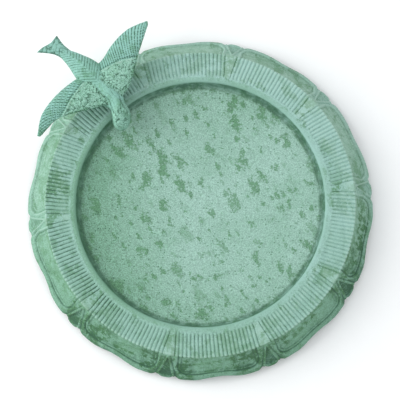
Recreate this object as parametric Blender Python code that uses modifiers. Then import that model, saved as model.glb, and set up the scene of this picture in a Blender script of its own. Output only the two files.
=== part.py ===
"""Cast bird bath dish with a swallow perched on its rim.

The dish stands on three short bolt-on feet. The swallow is a casting of its own, held down by a
stud, a washer and a nut under the rim. Metres, +Z up, the ground at Z = 0 and the origin below
the middle of the whole object's outline.
"""
import math

import bmesh
import bpy
from mathutils import Matrix, Vector

# ---- driving dimensions, metres, measured from the dish's own axis ------------------------------
GAP = 0.0003                      # air left between two pieces that touch

WALL = 0.0035                     # thickness of the casting
CREST_Z = 0.032
BASIN_DEPTH = 0.0165              # crest to the middle of the floor

BASIN_R = 0.1080                  # top of the basin's wall
WALL_HEIGHT = 0.0095              # from the rim down to the edge of the gently dished floor
WALL_DRAFT = 0.0012               # the wall leans in by this much on its way down
FILLET_R = 0.0025                 # between the wall and the floor
LIP_R = 0.0020                    # rounding between the wall and the rim
CREST_R = 0.1345                  # ridge between the reeded rim and the skirt
RIM_FALL = 0.0016                 # the rim falls this much from its crest to its lip
RIM_INNER_R = BASIN_R + LIP_R
RIM_INNER_Z = CREST_Z - RIM_FALL
FLOOR_R = BASIN_R - WALL_DRAFT - FILLET_R
FLOOR_SAG = BASIN_DEPTH - RIM_FALL - WALL_HEIGHT

SKIRT_R = 0.1522                  # lobes of the skirt's lower edge
SKIRT_DROP = 0.026                # crest to the lobes' lower edge
SKIRT_FLARE = 1.25                # above 1, the skirt turns outwards as it falls
LOBES = 10
LOBE_PHASE = math.radians(6.3)    # direction of the first tongue from +X
STEPS_PER_LOBE = 12               # one step is 3 degrees, the half width of a tongue
LOBE_CREST_DEG = 8.5              # widest point of a lobe, from the tongue's middle
VALLEY_DEG = 180.0 / LOBES
VALLEY_IN = 0.0026
VALLEY_UP = 0.0045
NOTCH_DEG = 3.0                   # the nick on each side of a tongue
NOTCH_WIDTH_DEG = 1.1
NOTCH_IN = 0.0022
NOTCH_UP = 0.0015

FOOT_COUNT = 3
FOOT_HEIGHT = 0.0125
FOOT_CIRCLE_R = 0.085
FOOT_BASE_R = 0.0095
FOOT_WAIST_R = 0.0080
FOOT_TOP_R = 0.0110
BOSS_R = 0.0110                   # round pad under the floor that a foot bolts to
BOSS_COVER = 0.0005               # floor left above the top of the pad's cylinder
SCREW_R = 0.0020                  # M4
SCREW_HEAD_R = 0.0040
SCREW_HEAD_H = 0.0026
SCREW_LENGTH = 0.0105             # below the head
HEAD_POCKET_R = 0.0047
HEAD_POCKET_DEPTH = 0.0060
HOLE_CLEARANCE = 0.0003

BIRD_ANGLE = math.radians(132.2)  # where the swallow sits on the rim
BIRD_SEAT_R = 0.1224              # its stud, in the middle of the reeded rim
STUD_R = 0.0025                   # M5
STUD_ABOVE_RIM = 0.0095
STUD_BELOW_NUT = 0.0015
WASHER_R = 0.0060
WASHER_T = 0.0010
NUT_ACROSS_FLATS = 0.008
NUT_H = 0.0040
SPOT_FACE_R = 0.0072
SPOT_FACE_CUT = 0.0001            # taken off the rim's underside at its highest point

ROUND_STEPS = 24                  # sides of small round pieces

# ---- colours ------------------------------------------------------------------------------------
VERDIGRIS = (0.33, 0.56, 0.45)
VERDIGRIS_DARK = (0.20, 0.38, 0.28)
ZINC = (0.55, 0.56, 0.57)


# ---- scene helpers ------------------------------------------------------------------------------
def clear_scene():
    for obj in list(bpy.data.objects):
        bpy.data.objects.remove(obj, do_unlink=True)


def new_collection(name):
    collection = bpy.data.collections.new(name)
    bpy.context.scene.collection.children.link(collection)
    return collection


clear_scene()
PARTS = new_collection("bird_bath")
CUTTERS = new_collection("cutters")


def principled(name, colour, roughness, metallic):
    material = bpy.data.materials.new(name)
    material.use_nodes = True
    shader = material.node_tree.nodes["Principled BSDF"]
    shader.inputs["Base Color"].default_value = (*colour, 1.0)
    shader.inputs["Roughness"].default_value = roughness
    shader.inputs["Metallic"].default_value = metallic
    return material


def add_part(name, mesh, material):
    obj = bpy.data.objects.new(name, mesh)
    obj.data.materials.clear()
    obj.data.materials.append(material)
    PARTS.objects.link(obj)
    return obj


def add_cutter(name, mesh):
    obj = bpy.data.objects.new(name, mesh)
    obj.hide_render = True
    obj.display_type = "WIRE"
    CUTTERS.objects.link(obj)
    return obj


def boolean(obj, other, operation):
    modifier = obj.modifiers.new(other.name, "BOOLEAN")
    modifier.operation = operation
    modifier.object = other


def mesh_from(bm, name):
    mesh = bpy.data.meshes.new(name)
    bm.to_mesh(mesh)
    bm.free()
    return mesh


def shade_round(mesh, angle_deg=35.0):
    mesh.shade_smooth()
    mesh.set_sharp_from_angle(angle=math.radians(angle_deg))


def cylinder(name, radius, bottom, top, sides=ROUND_STEPS):
    """Closed upright cylinder between two heights."""
    bm = bmesh.new()
    bmesh.ops.create_cone(bm, cap_ends=True, segments=sides, radius1=radius, radius2=radius,
                          depth=top - bottom)
    bmesh.ops.translate(bm, verts=bm.verts, vec=(0.0, 0.0, (top + bottom) / 2))
    return mesh_from(bm, name)


def turned(name, profile, steps, closed):
    """Mesh of a profile of (radius, height) turned about Z by a Screw modifier."""
    mesh = bpy.data.meshes.new(name)
    edges = [(i, i + 1) for i in range(len(profile) - 1)]
    if closed:
        edges.append((len(profile) - 1, 0))
    mesh.from_pydata([(r, 0.0, z) for r, z in profile], edges, [])
    obj = bpy.data.objects.new(name, mesh)
    bpy.context.scene.collection.objects.link(obj)
    screw = obj.modifiers.new("turn", "SCREW")
    screw.steps = steps
    screw.render_steps = steps
    screw.use_merge_vertices = True
    screw.merge_threshold = 0.00001
    depsgraph = bpy.context.evaluated_depsgraph_get()
    result = bpy.data.meshes.new_from_object(obj.evaluated_get(depsgraph))
    bpy.data.objects.remove(obj, do_unlink=True)
    bpy.data.meshes.remove(mesh)
    result.name = name
    return result


# ---- dish ---------------------------------------------------------------------------------------
def arc(centre_r, centre_z, width, height, start, end, count):
    """Points of an elliptical arc between two angles, in degrees from +R towards +Z."""
    points = []
    for i in range(count + 1):
        angle = math.radians(start + (end - start) * i / count)
        points.append((centre_r + width * math.cos(angle), centre_z + height * math.sin(angle)))
    return points


def floor_z(radius):
    """Height of the dished floor's upper surface."""
    return CREST_Z - BASIN_DEPTH + FLOOR_SAG * (radius / FLOOR_R) ** 2


def basin_points(floor_count=4, arc_count=3):
    """From the middle of the floor, round the fillet, up the wall and over its lip."""
    radii = [FLOOR_R * i / floor_count for i in range(floor_count)]
    floor = [(radius, floor_z(radius)) for radius in radii]
    fillet = arc(FLOOR_R, floor_z(FLOOR_R) + FILLET_R, FILLET_R, FILLET_R, -90, 0, arc_count)
    lip = arc(RIM_INNER_R, RIM_INNER_Z - LIP_R, LIP_R, LIP_R, 180, 90, arc_count)
    return floor + fillet + lip


def skirt_points(count=4):
    points = []
    for i in range(1, count + 1):
        t = i / count
        points.append((CREST_R + (SKIRT_R - CREST_R) * t ** SKIRT_FLARE, CREST_Z - SKIRT_DROP * t))
    return points


def lobe_offset(angle):
    """How far the skirt's edge comes in and up at an angle, both in metres."""
    period = 2 * VALLEY_DEG
    away = abs((math.degrees(angle - LOBE_PHASE) + VALLEY_DEG) % period - VALLEY_DEG)
    run = min(max((away - LOBE_CREST_DEG) / (VALLEY_DEG - LOBE_CREST_DEG), 0.0), 1.0)
    valley = 0.5 - 0.5 * math.cos(math.pi * run)
    notch = math.exp(-((away - NOTCH_DEG) / NOTCH_WIDTH_DEG) ** 2)
    return VALLEY_IN * valley + NOTCH_IN * notch, VALLEY_UP * valley + NOTCH_UP * notch


def scallop(mesh):
    """Draw the skirt in and up between its lobes, more and more towards its edge."""
    for vertex in mesh.vertices:
        x, y, z = vertex.co
        radius = math.hypot(x, y)
        if radius <= CREST_R:
            continue
        inward, upward = lobe_offset(math.atan2(y, x))
        fall = ((CREST_Z - z) / SKIRT_DROP) ** 2
        scale = (radius - inward * fall) / radius
        vertex.co = (x * scale, y * scale, z + upward * fall)


def foot_angles():
    return [BIRD_ANGLE + 2 * math.pi * i / FOOT_COUNT for i in range(FOOT_COUNT)]


def foot_place(angle):
    return Vector((FOOT_CIRCLE_R * math.cos(angle), FOOT_CIRCLE_R * math.sin(angle), 0.0))


def bird_place():
    return Vector((BIRD_SEAT_R * math.cos(BIRD_ANGLE), BIRD_SEAT_R * math.sin(BIRD_ANGLE), 0.0))


def spot_face_z():
    """Flat that the washer bears on, under the reeded rim."""
    highest = SPOT_FACE_R + BIRD_SEAT_R
    rim_z = CREST_Z - RIM_FALL * (CREST_R - highest) / (CREST_R - RIM_INNER_R)
    return rim_z - WALL + SPOT_FACE_CUT


def make_bowl(material):
    profile = basin_points() + [(CREST_R, CREST_Z)] + skirt_points()
    mesh = turned("bowl", profile, LOBES * STEPS_PER_LOBE, closed=False)
    mesh.transform(Matrix.Rotation(LOBE_PHASE, 4, "Z"))
    scallop(mesh)
    shade_round(mesh)
    bowl = add_part("bowl", mesh, material)
    shell = bowl.modifiers.new("wall", "SOLIDIFY")
    shell.thickness = WALL
    shell.offset = -1.0
    shell.use_even_offset = True

    boss_bottom = FOOT_HEIGHT + GAP
    boss_top = floor_z(FOOT_CIRCLE_R - BOSS_R) - BOSS_COVER
    for i, angle in enumerate(foot_angles(), start=1):
        boss = add_cutter(f"boss_{i}", cylinder("boss", BOSS_R, boss_bottom, boss_top))
        boss.location = foot_place(angle)
        boolean(bowl, boss, "UNION")
        drill_top = HEAD_POCKET_DEPTH + SCREW_LENGTH + 2 * GAP
        drill = add_cutter(f"foot_drill_{i}", cylinder(
            "foot_drill", SCREW_R + HOLE_CLEARANCE, 0.0, drill_top))
        drill.location = foot_place(angle)
        boolean(bowl, drill, "DIFFERENCE")

    spot = add_cutter("spot_face", cylinder(
        "spot_face", SPOT_FACE_R, spot_face_z() - WALL, spot_face_z()))
    spot.location = bird_place()
    boolean(bowl, spot, "DIFFERENCE")
    drill = add_cutter("stud_drill", cylinder(
        "stud_drill", STUD_R + HOLE_CLEARANCE, spot_face_z() - WALL, CREST_Z + WALL))
    drill.location = bird_place()
    boolean(bowl, drill, "DIFFERENCE")
    return bowl


# ---- feet ---------------------------------------------------------------------------------------
def foot_profile():
    """Closed section of a turned foot, with its hole and the pocket for the screw's head."""
    hole = SCREW_R + HOLE_CLEARANCE
    chamfer = 0.0008
    waist_z = FOOT_HEIGHT * 0.45
    return [
        (hole, FOOT_HEIGHT),
        (FOOT_TOP_R - chamfer, FOOT_HEIGHT),
        (FOOT_TOP_R, FOOT_HEIGHT - chamfer),
        (FOOT_TOP_R, FOOT_HEIGHT - 2 * chamfer),
        (FOOT_WAIST_R, waist_z),
        (FOOT_BASE_R, 2 * chamfer),
        (FOOT_BASE_R, chamfer),
        (FOOT_BASE_R - chamfer, 0.0),
        (HEAD_POCKET_R, 0.0),
        (HEAD_POCKET_R, HEAD_POCKET_DEPTH),
        (hole, HEAD_POCKET_DEPTH),
    ]


def screw_profile():
    """Pan-head screw, head down, from its tip to the middle of its head."""
    seat = HEAD_POCKET_DEPTH - GAP
    tip = seat + SCREW_LENGTH
    bottom = seat - SCREW_HEAD_H
    return [
        (0.0, tip),
        (SCREW_R * 0.7, tip),
        (SCREW_R, tip - SCREW_R * 0.5),
        (SCREW_R, seat),
        (SCREW_HEAD_R, seat),
        (SCREW_HEAD_R, seat - SCREW_HEAD_H * 0.5),
        (SCREW_HEAD_R * 0.75, bottom + SCREW_HEAD_H * 0.1),
        (SCREW_HEAD_R * 0.45, bottom),
        (0.0, bottom),
    ]


def make_feet(foot_material, screw_material):
    foot_mesh = turned("foot", foot_profile(), ROUND_STEPS, closed=True)
    screw_mesh = turned("foot_screw", screw_profile(), ROUND_STEPS, closed=False)
    slot_depth = 0.0010
    slot_width = 0.0010
    head_bottom = HEAD_POCKET_DEPTH - GAP - SCREW_HEAD_H
    bm = bmesh.new()
    bmesh.ops.create_cube(bm, size=1.0)
    bmesh.ops.scale(bm, verts=bm.verts, vec=(3 * SCREW_HEAD_R, slot_width, 2 * slot_depth))
    slot_mesh = mesh_from(bm, "screw_slot")
    shade_round(foot_mesh)
    shade_round(screw_mesh)
    pieces = []
    for i, angle in enumerate(foot_angles(), start=1):
        foot = add_part(f"foot_{i}", foot_mesh, foot_material)
        screw = add_part(f"foot_screw_{i}", screw_mesh, screw_material)
        slot = add_cutter(f"screw_slot_{i}", slot_mesh)
        slot.rotation_euler.z = angle
        foot.location = foot_place(angle)
        screw.location = foot_place(angle)
        slot.location = foot_place(angle) + Vector((0.0, 0.0, head_bottom))
        boolean(screw, slot, "DIFFERENCE")
        pieces += [foot, screw]
    return pieces


# ---- swallow ------------------------------------------------------------------------------------
# The swallow's own frame: +X out of its beak, +Y to its left, Z = 0 at the crest of the rim and
# the stud's axis at X = Y = 0.

# Body stations: (x, half width, half height, height of the middle, y of the middle)
BODY_STATIONS = [
    (-0.052, 0.0045, 0.0030, 0.0215, -0.0020),
    (-0.042, 0.0075, 0.0062, 0.0185, 0.0010),
    (-0.028, 0.0115, 0.0098, 0.0155, 0.0030),
    (-0.012, 0.0125, 0.0114, 0.0118, 0.0030),
    (0.000, 0.0112, 0.0138, 0.0094, 0.0036),
    (0.010, 0.0078, 0.0096, 0.0126, 0.0035),
    (0.016, 0.0079, 0.0086, 0.0125, 0.0008),
    (0.021, 0.0092, 0.0088, 0.0110, -0.0012),
    (0.026, 0.0086, 0.0078, 0.0090, -0.0030),
    (0.030, 0.0052, 0.0050, 0.0070, -0.0042),
    (0.0315, 0.0018, 0.0018, 0.0060, -0.0045),
]
# A blade runs between two edges, each a smooth curve through a few (x, y) points, root to tip.
LEFT_WING = {
    "front": [(0.010, 0.006), (0.009, 0.018), (0.002, 0.031), (-0.0080, 0.046), (-0.0220, 0.0695)],
    "back": [(-0.026, 0.006), (-0.026, 0.019), (-0.030, 0.034), (-0.0312, 0.053), (-0.0250, 0.0712)],
}
RIGHT_WING = {
    "front": [(0.008, -0.002), (0.004, -0.010), (-0.004, -0.027), (-0.0112, -0.044), (-0.0095, -0.0662)],
    "back": [(-0.026, -0.002), (-0.0285, -0.012), (-0.0285, -0.032), (-0.0238, -0.052), (-0.0118, -0.0676)],
}
TAIL = {
    "front": [(-0.040, 0.0050), (-0.050, 0.0040), (-0.058, 0.0028), (-0.0675, 0.0040)],
    "back": [(-0.040, -0.0045), (-0.050, -0.0065), (-0.058, -0.0105), (-0.0672, -0.0195)],
}
WING_ROOT_Z = 0.0165
WING_TIP_Z = 0.0215
WING_ROOT_T = 0.0075
WING_TIP_T = 0.0026
WING_CAMBER = 0.0025
TAIL_ROOT_Z = 0.0190
TAIL_TIP_Z = 0.0240
TAIL_ROOT_T = 0.0050
TAIL_TIP_T = 0.0030
TAIL_NOTCH = 0.0022
TAIL_NOTCH_AT = 0.36              # across the tail, from its left tip
BEAK_LENGTH = 0.0085
BEAK_R = 0.0024
BEAK_PLACE = (0.0275, -0.0038, 0.0020)
BEAK_TILT = math.radians(160.0)


def smooth_curve(points, u):
    """Point at u, 0 to 1, on a Catmull-Rom curve through evenly spaced stations."""
    last = len(points) - 1
    place = u * last
    i = min(int(place), last - 1)
    t = place - i
    before = points[max(i - 1, 0)]
    after = points[min(i + 2, last)]
    result = []
    for a, b, c, d in zip(before, points[i], points[i + 1], after):
        result.append(b + 0.5 * t * (c - a + t * (2 * a - 5 * b + 4 * c - d + t * (3 * (b - c) + d - a))))
    return result


def loft(bm, rings):
    """Skin a row of equal rings, and close both ends with strips across the ring."""
    rows = [[bm.verts.new(point) for point in ring] for ring in rings]
    count = len(rows[0])
    for row, following in zip(rows, rows[1:]):
        for k in range(count):
            n = (k + 1) % count
            bm.faces.new((row[k], row[n], following[n], following[k]))
    for row in (rows[0], rows[-1]):
        for k in range(count // 2):
            corners = dict.fromkeys((row[k], row[k + 1], row[count - k - 1], row[-k]))
            bm.faces.new(list(corners))
    bmesh.ops.recalc_face_normals(bm, faces=bm.faces)


def body_mesh(ring_count=18, sides=20):
    rings = []
    for i in range(ring_count + 1):
        x, half_width, half_height, mid_z, mid_y = smooth_curve(BODY_STATIONS, i / ring_count)
        ring = []
        for k in range(sides):
            angle = 2 * math.pi * k / sides
            ring.append((x, mid_y + half_width * math.cos(angle), mid_z + half_height * math.sin(angle)))
        rings.append(ring)
    bm = bmesh.new()
    loft(bm, rings)
    return mesh_from(bm, "bird")


def blade_mesh(name, edges, root_z, tip_z, root_t, tip_t, camber, ring_count=9, sides=14, notch=0.0):
    """Thin lens-shaped blade between a front and a back edge, for the wings and the tail."""
    rings = []
    for i in range(ring_count + 1):
        u = i / ring_count
        front = smooth_curve(edges["front"], u)
        back = smooth_curve(edges["back"], u)
        mid_z = root_z + (tip_z - root_z) * u
        thickness = root_t + (tip_t - root_t) * u
        ring = []
        for k in range(sides):
            angle = 2 * math.pi * k / sides
            v = (1 - math.cos(angle)) / 2
            bite = notch * u ** 2 * max(0.0, 1 - abs(v - TAIL_NOTCH_AT) / TAIL_NOTCH_AT)
            x = front[0] + (back[0] - front[0]) * v + bite
            y = front[1] + (back[1] - front[1]) * v
            z = mid_z + camber * 4 * v * (1 - v) * (1 - u) + thickness / 2 * math.sin(angle)
            ring.append((x, y, z))
        rings.append(ring)
    bm = bmesh.new()
    loft(bm, rings)
    return mesh_from(bm, name)


def beak_mesh():
    """Cone that points forwards and down from the front of the head."""
    bm = bmesh.new()
    bmesh.ops.create_cone(bm, cap_ends=True, segments=10, radius1=BEAK_R, radius2=BEAK_R * 0.12,
                          depth=BEAK_LENGTH)
    tilt = Matrix.Rotation(BEAK_TILT, 4, "Y")
    bmesh.ops.transform(bm, verts=bm.verts, matrix=Matrix.Translation(BEAK_PLACE) @ tilt)
    return mesh_from(bm, "beak")


def seat_mesh():
    """Turned ring that is the rim's upper surface, raised by the gap, to cut the bird's seat."""
    inner_z = RIM_INNER_Z + GAP
    below = RIM_INNER_Z - WALL_HEIGHT
    profile = [
        (BASIN_R, inner_z),
        (RIM_INNER_R, inner_z),
        (CREST_R + GAP, CREST_Z + GAP),
        (CREST_R + GAP, below),
        (BASIN_R, below),
    ]
    mesh = turned("seat", profile, LOBES * STEPS_PER_LOBE, closed=True)
    mesh.transform(Matrix.Rotation(LOBE_PHASE, 4, "Z"))
    return mesh


def make_bird(material):
    heading = BIRD_ANGLE + math.pi
    place = Matrix.Translation(bird_place() + Vector((0.0, 0.0, CREST_Z)))
    to_dish = place @ Matrix.Rotation(heading, 4, "Z")

    mesh = body_mesh()
    mesh.transform(to_dish)
    shade_round(mesh, 60.0)
    bird = add_part("bird", mesh, material)
    wing = dict(root_z=WING_ROOT_Z, tip_z=WING_TIP_Z, root_t=WING_ROOT_T, tip_t=WING_TIP_T,
                camber=WING_CAMBER)
    limbs = [
        blade_mesh("left_wing", LEFT_WING, **wing),
        blade_mesh("right_wing", RIGHT_WING, **wing),
        blade_mesh("tail", TAIL, TAIL_ROOT_Z, TAIL_TIP_Z, TAIL_ROOT_T, TAIL_TIP_T, 0.0,
                   ring_count=6, notch=TAIL_NOTCH),
        beak_mesh(),
    ]
    for limb in limbs:
        limb.transform(to_dish)
        shade_round(limb, 60.0)
        boolean(bird, add_cutter(limb.name, limb), "UNION")
    boolean(bird, add_cutter("seat", seat_mesh()), "DIFFERENCE")
    hole = add_cutter("stud_hole", cylinder(
        "stud_hole", STUD_R + HOLE_CLEARANCE, CREST_Z - WALL, CREST_Z + STUD_ABOVE_RIM + GAP))
    hole.location = bird_place()
    boolean(bird, hole, "DIFFERENCE")
    return bird


def make_bird_fixing(material):
    """Stud, washer and nut that clamp the bird to the rim."""
    washer_top = spot_face_z() - GAP
    nut_top = washer_top - WASHER_T - GAP
    nut_bottom = nut_top - NUT_H
    stud_bottom = nut_bottom - STUD_BELOW_NUT
    stud_top = CREST_Z + STUD_ABOVE_RIM
    chamfer = STUD_R * 0.2
    bore = STUD_R + HOLE_CLEARANCE
    stud_profile = [
        (0.0, stud_top),
        (STUD_R - chamfer, stud_top),
        (STUD_R, stud_top - chamfer),
        (STUD_R, stud_bottom + chamfer),
        (STUD_R - chamfer, stud_bottom),
        (0.0, stud_bottom),
    ]
    washer_profile = [
        (bore, washer_top),
        (WASHER_R, washer_top),
        (WASHER_R, washer_top - WASHER_T),
        (bore, washer_top - WASHER_T),
    ]
    stud_mesh = turned("bird_stud", stud_profile, ROUND_STEPS, closed=False)
    washer_mesh = turned("bird_washer", washer_profile, ROUND_STEPS, closed=True)
    nut_mesh = cylinder("bird_nut", NUT_ACROSS_FLATS / math.sqrt(3), nut_bottom, nut_top, sides=6)
    pieces = []
    for mesh in (stud_mesh, washer_mesh, nut_mesh):
        shade_round(mesh)
        piece = add_part(mesh.name, mesh, material)
        piece.location = bird_place()
        pieces.append(piece)
    hole = add_cutter("nut_hole", cylinder(
        "nut_hole", bore, nut_bottom - WALL, nut_top + WALL))
    hole.location = bird_place()
    boolean(pieces[-1], hole, "DIFFERENCE")
    return pieces


# ---- assembly -----------------------------------------------------------------------------------
def plan_centre(objects):
    """Middle of the objects' outline seen from above."""
    depsgraph = bpy.context.evaluated_depsgraph_get()
    corners = []
    for obj in objects:
        evaluated = obj.evaluated_get(depsgraph)
        corners += [evaluated.matrix_world @ vertex.co for vertex in evaluated.to_mesh().vertices]
        evaluated.to_mesh_clear()
    xs = [corner.x for corner in corners]
    ys = [corner.y for corner in corners]
    return Vector(((min(xs) + max(xs)) / 2, (min(ys) + max(ys)) / 2, 0.0))


def main():
    cast_bowl = principled("verdigris_bowl", VERDIGRIS, 0.75, 0.1)
    cast_bird = principled("verdigris_bird", VERDIGRIS, 0.75, 0.1)
    cast_foot = principled("verdigris_foot", VERDIGRIS_DARK, 0.8, 0.1)
    zinc = principled("zinc_steel", ZINC, 0.4, 0.9)
    make_bowl(cast_bowl)
    make_bird(cast_bird)
    make_bird_fixing(zinc)
    make_feet(cast_foot, zinc)

    bpy.context.view_layer.update()
    centre = plan_centre(PARTS.objects)
    dish_axis = bpy.data.objects.new("dish_axis", None)
    PARTS.objects.link(dish_axis)
    for obj in [*PARTS.objects, *CUTTERS.objects]:
        if obj is not dish_axis:
            obj.parent = dish_axis
    dish_axis.location = -centre


main()
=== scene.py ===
"""Looks of a cast bird bath dish with a swallow on its rim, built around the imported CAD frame.

The dish is one grid of rings about its axis, from the middle of the floor out over the reeded rim
and the skirt and back along the underside. The swallow is lofted, remeshed into one skin and then
given its feathers as relief. Lengths are in metres.
"""

import math

import bmesh
import bpy
import numpy as np
from mathutils import Matrix, Vector
from mathutils.kdtree import KDTree


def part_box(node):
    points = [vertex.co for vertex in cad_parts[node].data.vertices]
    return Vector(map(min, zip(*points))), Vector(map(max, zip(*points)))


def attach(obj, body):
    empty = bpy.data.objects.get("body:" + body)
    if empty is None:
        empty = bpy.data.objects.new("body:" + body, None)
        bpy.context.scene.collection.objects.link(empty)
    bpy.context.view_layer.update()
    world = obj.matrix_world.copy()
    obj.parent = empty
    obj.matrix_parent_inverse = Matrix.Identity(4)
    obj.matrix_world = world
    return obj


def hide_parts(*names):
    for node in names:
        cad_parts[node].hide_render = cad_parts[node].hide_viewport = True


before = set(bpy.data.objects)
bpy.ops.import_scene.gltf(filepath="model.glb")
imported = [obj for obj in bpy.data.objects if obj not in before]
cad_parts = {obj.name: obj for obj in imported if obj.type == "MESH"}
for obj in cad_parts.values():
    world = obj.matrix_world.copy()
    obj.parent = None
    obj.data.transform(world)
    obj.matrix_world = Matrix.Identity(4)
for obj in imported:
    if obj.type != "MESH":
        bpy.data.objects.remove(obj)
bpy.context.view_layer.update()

# ---- sizes that the dish shares with its frame ----
GAP = 0.0003
WALL = 0.0035
BOWL_LOW, BOWL_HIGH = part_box("bowl")
AXIS = Vector(((BOWL_LOW.x + BOWL_HIGH.x) / 2, (BOWL_LOW.y + BOWL_HIGH.y) / 2, 0.0))
CREST_Z = BOWL_HIGH.z
BASIN_DEPTH = 0.0165
BASIN_R = 0.1080
WALL_HEIGHT = 0.0095
WALL_DRAFT = 0.0012
FILLET_R = 0.0025
LIP_R = 0.0020
CREST_R = 0.1345
RIM_FALL = 0.0016
RIM_INNER_R = BASIN_R + LIP_R
RIM_INNER_Z = CREST_Z - RIM_FALL
FLOOR_R = BASIN_R - WALL_DRAFT - FILLET_R
FLOOR_SAG = BASIN_DEPTH - RIM_FALL - WALL_HEIGHT
SKIRT_R = BOWL_HIGH.x
SKIRT_DROP = 0.026
SKIRT_FLARE = 1.25
LOBES = 10
LOBE_ANGLE = 2 * math.pi / LOBES
LOBE_PHASE = math.radians(6.3)
LOBE_CREST_DEG = 8.5
VALLEY_DEG = 180.0 / LOBES
VALLEY_IN = 0.0026
VALLEY_UP = 0.0045
NOTCH_DEG = 3.0
NOTCH_WIDTH_DEG = 1.1
NOTCH_IN = 0.0022
NOTCH_UP = 0.0015
BOSS_R = 0.0110
SCREW_R = 0.0020
STUD_R = (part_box("bird_stud")[1].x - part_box("bird_stud")[0].x) / 2
HOLE_CLEARANCE = 0.0003

# ---- relief of the dish -------------------------
RIB_INNER_R = 0.1136  # inner ends of the reeds, outside the basin's lip
RIBS_PER_LOBE = 21
RIB_STEPS = 6  # columns of the grid in one rib
GAP_STEPS = 18  # columns in the plain wedge at a tongue
COLUMNS = LOBES * (RIBS_PER_LOBE * RIB_STEPS + GAP_STEPS)
LIT_SIDE = math.radians(20.0)  # side where the reeds are painted palest, a painted highlight where they face the lamp
WEDGE_CREST = math.radians(4.4)  # width of the plain wedge at the crest
WEDGE_INNER = math.radians(2.6)  # and at its inner end
GROOVE_DEPTH = 0.0009
TONGUE_APEX = 0.0015  # distances down the skirt from the crest
TONGUE_SPREAD = 0.0077  # half width of the inverted V at the skirt's edge
TONGUE_RIDGE = 0.0011
TONGUE_RIDGE_WIDTH = 0.00075
TONGUE_RECESS = 0.0010
PANEL_SIDE = 0.0072  # from a tongue's middle to the edge of the panel next to it
PANEL_FOOT = 0.0260  # down the skirt, the lower edge of the panels
PANEL_CORNER = 0.0110
PANEL_RIDGE = 0.0010
PANEL_RIDGE_WIDTH = 0.0009
PANEL_RECESS = 0.0007
BEAD_INSET = 0.0034  # from a panel's border in to the finer ridge along it
FINE_WIDTH = 0.0006  # of that ridge and of the painted shadow lines beside the ridges
STROKE_DOWN = 0.0030  # pitch of the strokes inside a tongue, down the skirt
STROKE_ACROSS = 0.0045  # and across it
EDGE_ROUND = 0.0010
FLOOR_PAINT_END = -0.022  # along the section from the crest, where the floor's paint ends
UNDER_SHADE = 0.35  # of the paint on the underside
BOSS_PAINT = {"hollows_and_painted_light": 0.3, "pits": 0.9, "dabs": 0.2, "tint": 0.4, "patch": 0.0, "shade_wash": 0.5}
FOOT_PAINT = {"pits": 0.6, "dabs": 0.8, "tint": 0.6, "patch": 0.0, "shade_wash": 0.5}


def smoothstep(low, high, value):
    t = np.clip((value - low) / (high - low), 0.0, 1.0)
    return t * t * (3.0 - 2.0 * t)


def hill(distance, width):
    return np.exp(-(distance / width) ** 2)


def lattice(ix, iy, iz, seed):
    """Repeatable value from -1 to 1 for each point of a lattice."""
    h = (ix * 374761393 + iy * 668265263 + iz * 1442695041 + seed * 1013904223) & 0xFFFFFFFF
    h = ((h ^ (h >> 13)) * 1274126177) & 0xFFFFFFFF
    return ((h ^ (h >> 16)) & 0xFFFFFF) / 0x7FFFFF - 1.0


def noise(points, cell, seed=0):
    """Smooth noise from -1 to 1 with features the size of a cell."""
    scaled = points / cell
    base = np.floor(scaled).astype(np.int64)
    f = scaled - base
    f = f * f * (3.0 - 2.0 * f)
    total = np.zeros(len(points))
    for corner in np.ndindex(2, 2, 2):
        share = np.where(corner, f, 1 - f).prod(axis=1)
        total += share * lattice(*(base + corner).T, seed)
    return total


# ---- pieces -------------------------------------
def add_object(name, data):
    obj = bpy.data.objects.new(name, data)
    bpy.context.scene.collection.objects.link(obj)
    return obj


def new_object(name, vertices, faces, attributes=None):
    """Smooth-shaded mesh object with a value of each named attribute at each vertex."""
    mesh = bpy.data.meshes.new(name)
    mesh.from_pydata(np.asarray(vertices).tolist(), [], faces)
    mesh.shade_smooth()
    obj = add_object(name, mesh)
    set_attributes(obj, attributes or {})
    return obj


def set_attributes(obj, attributes):
    """Store values at the vertices under each name; a single number goes to all of them."""
    count = len(obj.data.vertices)
    for name, values in attributes.items():
        layer = obj.data.attributes.get(name) or obj.data.attributes.new(name, "FLOAT", "POINT")
        layer.data.foreach_set("value", np.full(count, values, np.float32))


def apply_modifiers(obj):
    depsgraph = bpy.context.evaluated_depsgraph_get()
    mesh = bpy.data.meshes.new_from_object(obj.evaluated_get(depsgraph))
    obj.modifiers.clear()
    old = obj.data
    obj.data = mesh
    bpy.data.meshes.remove(old)


def cut(obj, cutters, operation="DIFFERENCE"):
    """Apply closed cutters to a dense closed mesh, then remove them."""
    for cutter in cutters:
        modifier = obj.modifiers.new("cut", "BOOLEAN")
        modifier.operation = operation
        modifier.solver = "MANIFOLD"
        modifier.object = cutter
    apply_modifiers(obj)
    for cutter in cutters:
        bpy.data.objects.remove(cutter, do_unlink=True)


def polar(radius, angles, height, centre=Vector()):
    """Points about an upright axis."""
    return np.column_stack([
        centre.x + radius * np.cos(angles), centre.y + radius * np.sin(angles),
        np.broadcast_to(height, angles.shape)])


def turned(name, profile, steps, centre):
    """Solid of a closed profile of (radius, height) turned about an upright axis."""
    angles = np.arange(steps) * 2 * math.pi / steps
    vertices = np.vstack([polar(radius, angles, height, centre) for radius, height in profile])
    faces = []
    for i in range(len(profile)):
        n = (i + 1) % len(profile)
        if profile[i][0] == 0 and profile[n][0] == 0:
            continue
        for k in range(steps):
            m = (k + 1) % steps
            faces.append((i * steps + k, i * steps + m, n * steps + m, n * steps + k))
    obj = new_object(name, vertices, faces)
    weld(obj)
    return obj


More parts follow.
